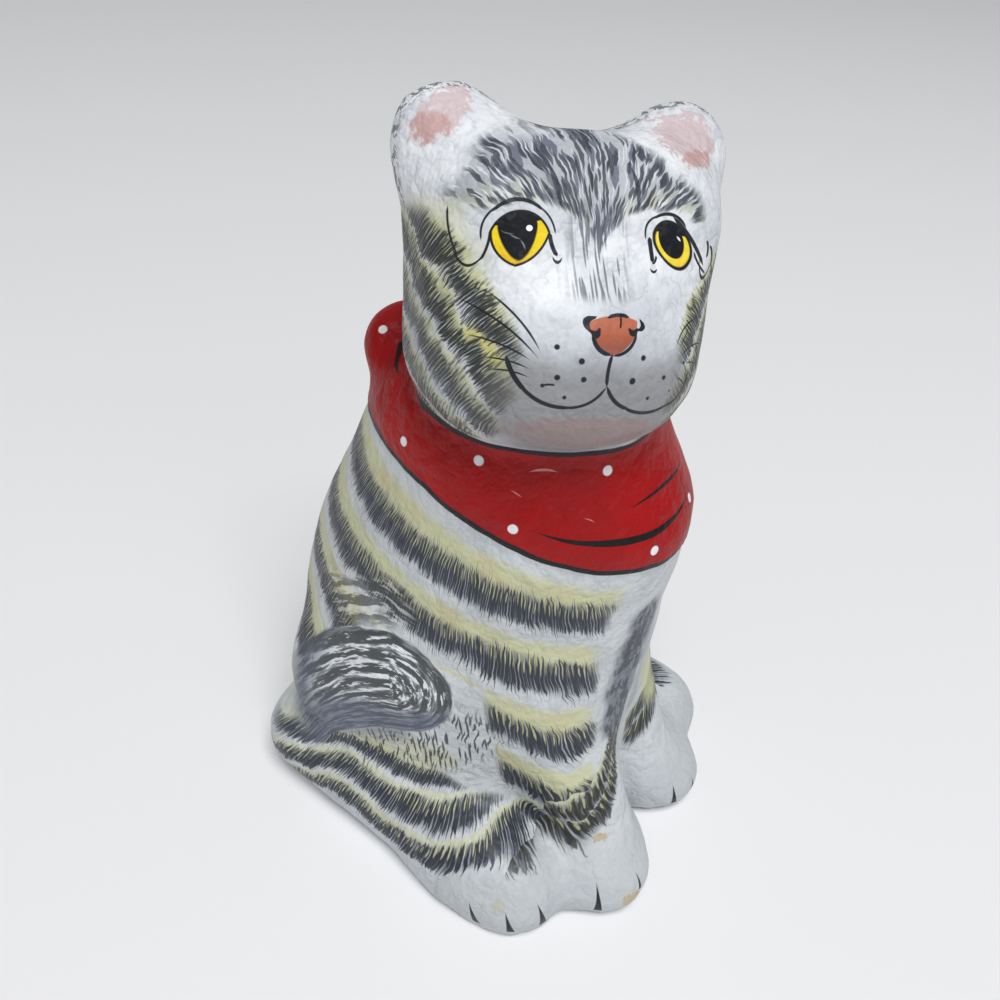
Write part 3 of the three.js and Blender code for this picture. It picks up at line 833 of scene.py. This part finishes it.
lines = most(lines, strokes(hx, hz, WHISKERS, 5.0, 1.35))
for across, up, radius in DOTS:
    lines = most(lines, math("MULTIPLY", radius - away_from(face, (across, up, 0)), 4.0, clamp=True))
print(len(LIDS) + len(NOSE_AND_MOUTH) + len(WHISKERS), "lines and", len(DOTS), "dots")


# %% [markdown]
# ## Eyes, nose and ears
# The outlines of the eyes and of the nose are arcs, so each is the overlap of circles through three
# points of the face. The pupils and the soft pinks are ovals. Head and eyes are mixed last, so that
# nothing runs into the eyes.

# %% Eyes
def disc(first, middle, last):
    """Distance inside the circle through three points of the face."""
    (ax, az), (bx, bz), (cx, cz) = first, middle, last
    a, b, c = ax**2 + az**2, bx**2 + bz**2, cx**2 + cz**2
    twice = 2 * (ax * (bz - cz) + bx * (cz - az) + cx * (az - bz))
    centre_x = (a * (bz - cz) + b * (cz - az) + c * (az - bz)) / twice
    centre_z = (a * (cx - bx) + b * (ax - cx) + c * (bx - ax)) / twice
    radius = ((ax - centre_x) ** 2 + (az - centre_z) ** 2) ** 0.5
    return radius - away_from(face, (centre_x, centre_z, 0))


IRIS, IRIS_LOW, IRIS_LEFT = colour(238, 208, 36), colour(226, 176, 34), colour(246, 226, 84)
PUPIL, RIM_BLACK = colour(22, 24, 30), colour(30, 32, 34)
SCRAPED_AND_REFLECTED, GLINT = colour(150, 154, 160), colour(240, 242, 246)


right_eye = least(
    disc((-26.3, 16.2), (-24.9, 10.2), (-19.9, 7.3)),
    disc((-20.9, 7.3), (-15.5, 10.3), (-12.5, 15.6)),
)
right_eye = least(disc((-26.2, 15.6), (-20.4, 20.0), (-12.8, 15.9)), right_eye)
right_pupil = most(oval(face, -20.3, 16.4, 4.7, 7.9, 4.0, 1.6), hz - 16.2 - 0.17 * (hx + 24.6))
left_eye = 4.2 * oval(face, 18.1, 13.9, 6.7, 4.3, -44.0, 2.3) / 2.3
left_pupil = most(oval(face, 17.5, 14.9, 4.7, 3.0, -52.0), hz - 16.9 + 0.12 * (hx - 13))
iris = blend(ease(hz, 12.5, 7.5), IRIS, IRIS_LOW)
iris = blend(0.5 * (hx > 0.0), iris, IRIS_LEFT)
in_pupil = most(right_pupil * (hx < 0.0), left_pupil * (hx > 0.0))
eye = blend(math("MULTIPLY", in_pupil, 9.0, clamp=True), iris, PUPIL)
right_glint = math("MULTIPLY", oval(face, -17.7, 16.1, 0.8, 0.7), 6.0, clamp=True)
left_glint = strokes(hx, hz, ((18.6, 16.1, 19.3, 15.5, 20.0, 14.8, 0.6),))
# Pale jagged streaks across the right eye: worn cracks in the varnish, and a painted reflection of the
# light in it.
scrape_and_reflection = strokes(hx, hz, (
    (-24.4, 15.4, -22.6, 14.7, -20.8, 14.8, 0.35), (-22.4, 14.8, -20.4, 13.8, -19.2, 13.6, 0.5),
    (-19.8, 13.6, -18.9, 12.6, -18.3, 11.0, 0.55),
))
eye = blend(0.6 * scrape_and_reflection, eye, SCRAPED_AND_REFLECTED)
eye = blend(most(right_glint, left_glint), eye, GLINT)
in_eye = most(right_eye * (hx < 0.0), left_eye * (hx > 0.0))
eye = blend(math("MULTIPLY", 0.75 - in_eye, 5.0, clamp=True), eye, RIM_BLACK)
eye_mask = math("MULTIPLY", in_eye, 6.0, clamp=True) * (hy < 0.0)
print("eyes painted")

# %% Nose and ears
NOSE, NOSE_LOW = colour(182, 106, 82), colour(158, 82, 60)
EAR_PINK, EAR_ROSE = colour(200, 174, 176), colour(182, 134, 126)

front = hy < 4.0
nose = least(
    disc((-5.6, -3.6), (1.0, -1.6), (8.8, -3.4)),
    disc((-5.2, -2.0), (-3.6, -7.2), (1.8, -10.7)),
)
nose = least(nose, disc((7.4, -2.0), (6.2, -7.2), (0.4, -10.6)))
nose_colour = blend(ease(hz, -3.0, -9.0), NOSE, NOSE_LOW)
head = blend(math("MULTIPLY", nose, 5.0, clamp=True) * front, head, nose_colour)
pink = most(oval(face, -33.7, 39.8, 9.2, 4.2, 42.0), oval(face, 27.5, 38.5, 10.0, 6.5, 5.0))
rose = most(oval(face, -37.0, 36.2, 4.6, 3.4, 40.0), oval(face, 28.6, 33.6, 6.5, 2.2, 8.0))
ragged = 3.0 * (brushed - 0.5)
head = blend(0.75 * ease(pink + ragged, -0.1, 0.4) * front, head, EAR_PINK)
head = blend(0.6 * ease(rose + ragged, -0.3, 0.5) * front, head, EAR_ROSE)
print("nose and ears painted")

# %% Muzzle, chin and all the lines
MUZZLE_PAINTED_SHADE, CHIN_PINK_AND_SHADE = colour(112, 111, 110), colour(156, 128, 124)
WEDGE_SLATE, SPECK_GREY = colour(54, 58, 68), colour(78, 80, 84)
LINE_BLACK, CREASE_BLACK_AND_SHADE = colour(38, 41, 46), colour(34, 34, 38)

# The lower muzzle is greyed: painted shade under the snout.
muzzle_shade = ease(hz + 6 * wander + 4 * drift, -5.0, -17.0)
muzzle_shade = muzzle_shade * ease(oval(face, 0.0, -21.0, 29.0, 24.0), 0.0, 0.5)
head = blend(0.7 * muzzle_shade * front, head, MUZZLE_PAINTED_SHADE)
# A dark pink chin: its own pink, mixed with painted shade under the chin.
chin = oval(face, 0.0, -30.0, 22.0, 5.0)
head = blend(0.6 * ease(chin + 1.4 * (brushed - 0.5), -0.1, 0.5) * front, head, CHIN_PINK_AND_SHADE)
head = blend(0.9 * strokes(hx, hz, WEDGES) * front, head, WEDGE_SLATE)
ridge = ease(abs(hy - 3), 6.0, 3.0) * ease(hz + 0.4 * head_side, 30.0, 36.0)
specks = ease(grain(where, 0.5, 2.0, 0.7), 0.50, 0.55) * ridge
head = blend(0.8 * specks, head, SPECK_GREY)
head = blend(lines * front, head, LINE_BLACK)
head = blend(eye_mask, head, eye)
# A black band on the chin's edge where the head meets the neckerchief: a painted line, and painted
# shade under the chin.
crease = math("MULTIPLY", gap_to_head - 0.8, 3.0, clamp=True) * (hz < -22.0)
head = blend(crease, head, CREASE_BLACK_AND_SHADE)
print("face painted")

# %% [markdown]
# ## Neckerchief
# A red neckerchief with a black border and small white dots is tied behind the neck. Its folds are
# painted on in black, and in places the red is worn pale. Folds and worn spots are brush lines
# again, this time on the cloth laid flat: wrap runs round the neck from the front toward the cat's
# own right, in millimetres.

# %% Neckerchief colour
NECK_RADIUS, DOT_RADIUS, BORDER_WIDTH, CREASE_WIDTH = 40, 1.6, 2.2, 2.6
RED, DEEP_RED, WORN_RED = colour(164, 3, 12), colour(146, 3, 10), colour(222, 150, 150)
FOLD_BLACK, BORDER_BLACK, DOT_WHITE = colour(26, 20, 22), colour(30, 30, 34), colour(232, 232, 236)
wrap = NECK_RADIUS * math("ARCTAN2", -x, -y)
FOLDS = (
    (14.5, 150.8, 4.0, 152.2, -12.0, 151.2, 1.1), (36.3, 147.1, 16.0, 143.0, -8.0, 145.2, 2.1),
    (114.0, 175.5, 106.0, 171.2, 94.0, 171.0, 1.6),
)
WORN = (
    (37.5, 162.4, 33.5, 163.4, 29.5, 162.8, 0.9), (41.8, 157.2, 40.3, 156.5, 38.5, 155.4, 0.5),
    (24.5, 150.6, 23.2, 150.2, 21.6, 149.0, 0.4),
)
SCARF_DOTS = (
    (-37.2, 13.7, 158.9), (-37.0, -11.3, 163.1), (-18.5, -40.1, 161.9), (-38.2, -23.9, 146.6),
    (-13.0, -55.1, 138.0), (9.3, -54.6, 142.7), (-12.8, 39.8, 174.9), (37.2, 13.7, 158.9),
    (37.0, -11.3, 163.1), (38.2, -23.9, 146.6), (24.0, 32.0, 158.0), (-26.0, 30.0, 156.0),
    (4.0, 50.0, 168.0),
)
scarf = blend(ease(mottle, 0.3, 0.7), RED, DEEP_RED)
scarf = blend(0.7 * strokes(wrap, z, WORN), scarf, WORN_RED)
scarf = blend(strokes(wrap, z, FOLDS), scarf, FOLD_BLACK)
for spot in SCARF_DOTS:
    dot = math("MULTIPLY", DOT_RADIUS - away_from(where, spot), 3.0, clamp=True)
    scarf = blend(dot, scarf, DOT_WHITE)
on_border = math("MULTIPLY", BORDER_WIDTH - above_border, 3.0, clamp=True)
scarf = blend(on_border, scarf, BORDER_BLACK)
body = blend(math("MULTIPLY", above_border, 5.0, clamp=True), body, scarf)
# A black band on the neckerchief just under the head: a painted line in the crease, and painted shade
# under the chin.
under_head_line_and_shade = math("MULTIPLY", CREASE_WIDTH - gap_to_head, 3.0, clamp=True) * (z > NECK_LEVEL)
body = blend(under_head_line_and_shade, body, CREASE_BLACK_AND_SHADE)
print("neckerchief painted")

# %% [markdown]
# ## Varnish
# A thin satin varnish lies over the paint: the roughness is moderate, with a weak clear coat, and
# the brush marks and the crumpled paper under it show as a faint relief. The relief is bump alone,
# because it is finer than the faces of the skin. Head and body are two finishes of the same kind,
# joined by a Mix Shader at the crease, so that each point works out only the paint that it shows.

# %% Varnish and output
height = 0.6 * brushed + mottle + 14 * crumple
relief = add("ShaderNodeBump", {}, {"Strength": 0.35, "Distance": 0.0006, "Height": height})
finishes = [
    add("ShaderNodeBsdfPrincipled", {}, {
        "Base Color": tint, "Roughness": 0.5, "Specular IOR Level": 0.25, "Coat Weight": 0.1,
        "Coat Roughness": 0.2, "Normal": relief,
    })
    for tint in (body, head)
]
add("ShaderNodeOutputMaterial", {}, {
    "Surface": add("ShaderNodeMixShader", {}, {0: on_head, 1: finishes[0], 2: finishes[1]}),
})
skin.data.materials.clear()
skin.data.materials.append(paint)
print("material has", len(paint.node_tree.nodes), "nodes")

# %% [markdown]
# ## Floor and light
# The cat stands on a plain pale floor. A large soft light hangs high above, a little to the right
# of the camera, and models the form. A much weaker one, lower and further to the right, opens the
# shadows, and a pale world fills the rest. The Standard view shows each paint as it was mixed,
# where a filmic view would pale the red.

# %% Pale floor
bpy.ops.object.select_all(action="DESELECT")
FLOOR_SIZE, FLOOR_GAP = 6, 0.0002
bpy.ops.mesh.primitive_plane_add(size=FLOOR_SIZE, location=(0, 0, -FLOOR_GAP))
floor = bpy.context.object
floor.name = "floor"
floor_paint = bpy.data.materials.new("pale_floor")
floor_paint.use_nodes = True
floor_shader = floor_paint.node_tree.nodes["Principled BSDF"]
floor_shader.inputs["Base Color"].default_value = (0.86, 0.86, 0.87, 1)
floor_shader.inputs["Roughness"].default_value = 0.7
floor.data.materials.append(floor_paint)
print("floor laid")


# %% Soft lights and a pale world
CAT_MIDDLE = Vector((0, 0, 0.12))
WORLD_COLOUR, WORLD_STRENGTH = (0.95, 0.97, 1, 1), 0.26


def soft_light(name, spot, size, power):
    """An area light at a point, turned toward the middle of the cat."""
    bpy.ops.object.light_add(type="AREA", location=spot)
    light = bpy.context.object
    light.name = name
    light.rotation_euler = (CAT_MIDDLE - Vector(spot)).to_track_quat("-Z", "Y").to_euler()
    light.data.size = size
    light.data.energy = power


soft_light("key_light", spot=(-0.9, -1.0, 3.1), size=1.5, power=90)
soft_light("fill_light", spot=(-1.2, -2.2, 1.2), size=1.6, power=5)
world = bpy.context.scene.world or bpy.data.worlds.new("pale_room")
bpy.context.scene.world = world
world.use_nodes = True
backdrop = world.node_tree.nodes["Background"]
backdrop.inputs["Color"].default_value = WORLD_COLOUR
backdrop.inputs["Strength"].default_value = WORLD_STRENGTH
bpy.context.scene.view_settings.view_transform = "Standard"
print("lights set")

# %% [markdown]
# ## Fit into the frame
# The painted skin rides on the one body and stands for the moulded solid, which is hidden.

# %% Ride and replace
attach(skin, "root")
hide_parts("cat")
